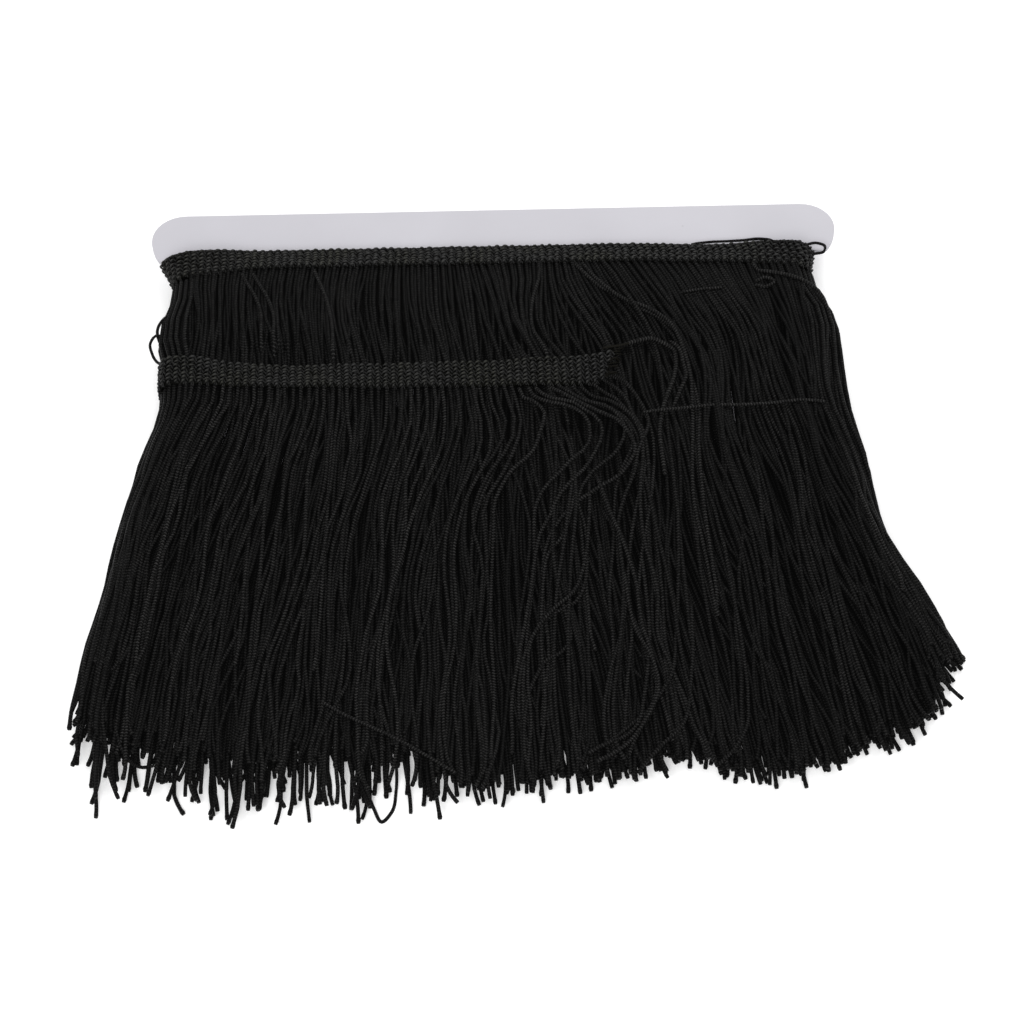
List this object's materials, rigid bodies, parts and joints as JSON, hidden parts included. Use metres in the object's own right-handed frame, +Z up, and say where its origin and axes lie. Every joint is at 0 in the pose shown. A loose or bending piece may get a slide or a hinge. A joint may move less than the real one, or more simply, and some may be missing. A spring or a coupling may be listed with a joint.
{
  "type": "fringe trim on winding card",
  "caption": "Chainette fringe trim wound round a flat notched card, lying flat with its cut strands fanned out and its last turn ending in a cut heading.",
  "frame": {"origin": "centre of the bounding box's footprint, on the surface that the piece lies on", "axes": "+X along the card towards its right end as seen from the front, +Y from the strand tips towards the card's top edge, +Z up out of the front of the card"},
  "size_m": [0.3674, 0.2812, 0.0305],
  "materials": {
    "card": "smooth matt white board",
    "wound_heading": "black knitted heading, matt",
    "end_heading": "black knitted heading, matt",
    "front_fringe": "black chainette strands, soft sheen",
    "back_fringe": "black chainette strands, soft sheen",
    "end_fringe": "black chainette strands, soft sheen"
  },
  "bodies": {
    "root": {"card": "card", "wound_heading": "wound_heading", "end_heading": "end_heading", "front_fringe": "front_fringe", "back_fringe": "back_fringe", "end_fringe": "end_fringe"}
  },
  "joints": []
}
